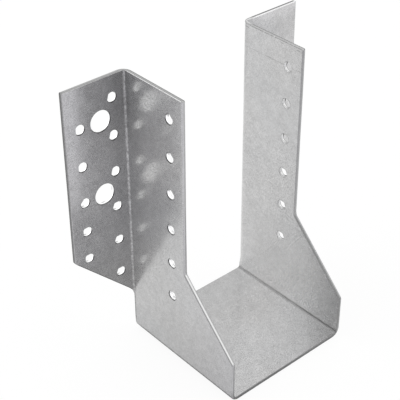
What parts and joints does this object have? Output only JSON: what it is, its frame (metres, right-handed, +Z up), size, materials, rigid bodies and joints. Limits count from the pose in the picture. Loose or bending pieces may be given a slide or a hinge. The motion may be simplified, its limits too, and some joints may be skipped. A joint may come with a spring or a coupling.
{
  "type": "joist hanger",
  "caption": "Folded sheet steel hanger: a seat and two nailed side plates hold a timber joist end, and two outward flanges fix it to a header beam.",
  "frame": {"origin": "centre of the part's footprint, in the plane of the seat's underside", "axes": "+Y points into the header beam, out of the flat backs of the flanges, +Z is up, and +X runs across the joist to the right seen from the front, so the seat reaches forward along -Y"},
  "size_m": [0.145, 0.0764, 0.1535],
  "materials": {
    "zinc_coated_steel": "dull grey zinc coating with a fine mottled spangle, soft reflections"
  },
  "bodies": {
    "root": {"hanger": "zinc_coated_steel"}
  },
  "joints": []
}
